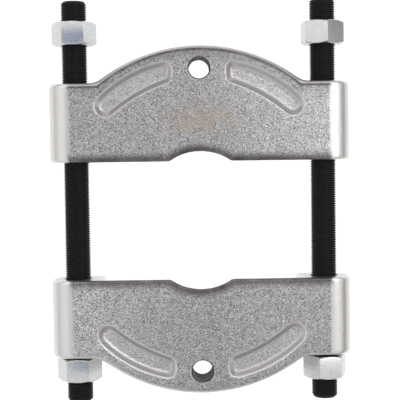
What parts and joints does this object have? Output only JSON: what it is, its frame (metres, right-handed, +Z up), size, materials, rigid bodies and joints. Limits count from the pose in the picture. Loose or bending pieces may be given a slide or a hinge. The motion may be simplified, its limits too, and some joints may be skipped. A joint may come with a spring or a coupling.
{
  "type": "bearing separator",
  "caption": "Two forged half-plates with a notched blade, drawn together by nuts on two long threaded studs.",
  "frame": {"origin": "on the bench under the middle of the studs, midway between them", "axes": "+X along the half-plates, +Y along the studs towards the rear half, +Z up, out of the flat bearing faces"},
  "size_m": [0.185, 0.2476, 0.028],
  "materials": {
    "forged_steel": "satin",
    "black_steel": "satin",
    "zinc_plate": "satin"
  },
  "bodies": {
    "front_half": {"front_half": "forged_steel"},
    "rear_half": {"rear_half": "forged_steel"},
    "left_stud": {"left_stud": "black_steel"},
    "right_stud": {"right_stud": "black_steel"},
    "rear_left_nut": {"rear_left_nut": "zinc_plate"},
    "rear_right_nut": {"rear_right_nut": "zinc_plate"},
    "front_left_nut": {"front_left_nut": "zinc_plate"},
    "front_right_nut": {"front_right_nut": "zinc_plate"}
  },
  "joints": [
    {"name": "front_left_nut_turn", "type": "hinge", "parent": "front_half", "child": "front_left_nut", "pos_m": [-0.07665, -0.10345, 0.014], "axis": [0, 1, 0], "range_deg": [-3061.4, 3061.4]},
    {"name": "front_right_nut_turn", "type": "hinge", "parent": "front_half", "child": "front_right_nut", "pos_m": [0.07665, -0.1039, 0.014], "axis": [0, 1, 0], "range_deg": [-3061.4, 3061.4]},
    {"name": "left_stud_travel", "type": "slide", "parent": "front_half", "child": "left_stud", "axis": [0, 1, 0], "range_m": [-0.01201, 0.01201]},
    {"name": "right_stud_travel", "type": "slide", "parent": "front_half", "child": "right_stud", "axis": [0, 1, 0], "range_m": [-0.01201, 0.01201]},
    {"name": "rear_half_travel", "type": "slide", "parent": "left_stud", "child": "rear_half", "axis": [0, 1, 0], "range_m": [-0.05971, 0.01201]},
    {"name": "rear_left_nut_turn", "type": "hinge", "parent": "rear_half", "child": "rear_left_nut", "pos_m": [-0.07665, 0.1039, 0.014], "axis": [0, 1, 0], "range_deg": [-15230.6, 3061.4]},
    {"name": "rear_right_nut_turn", "type": "hinge", "parent": "rear_half", "child": "rear_right_nut", "pos_m": [0.07665, 0.1031, 0.014], "axis": [0, 1, 0], "range_deg": [-15230.6, 3061.4]}
  ],
  "couplings": [
    {"joint": "front_right_nut_turn", "follows": "front_left_nut_turn", "ratio": 1},
    {"joint": "left_stud_travel", "follows": "front_left_nut_turn", "m_per_rad": -0.00022459},
    {"joint": "right_stud_travel", "follows": "front_left_nut_turn", "m_per_rad": -0.00022459},
    {"joint": "rear_half_travel", "follows": "rear_left_nut_turn", "m_per_rad": 0.00022459},
    {"joint": "rear_right_nut_turn", "follows": "rear_left_nut_turn", "ratio": 1}
  ]
}
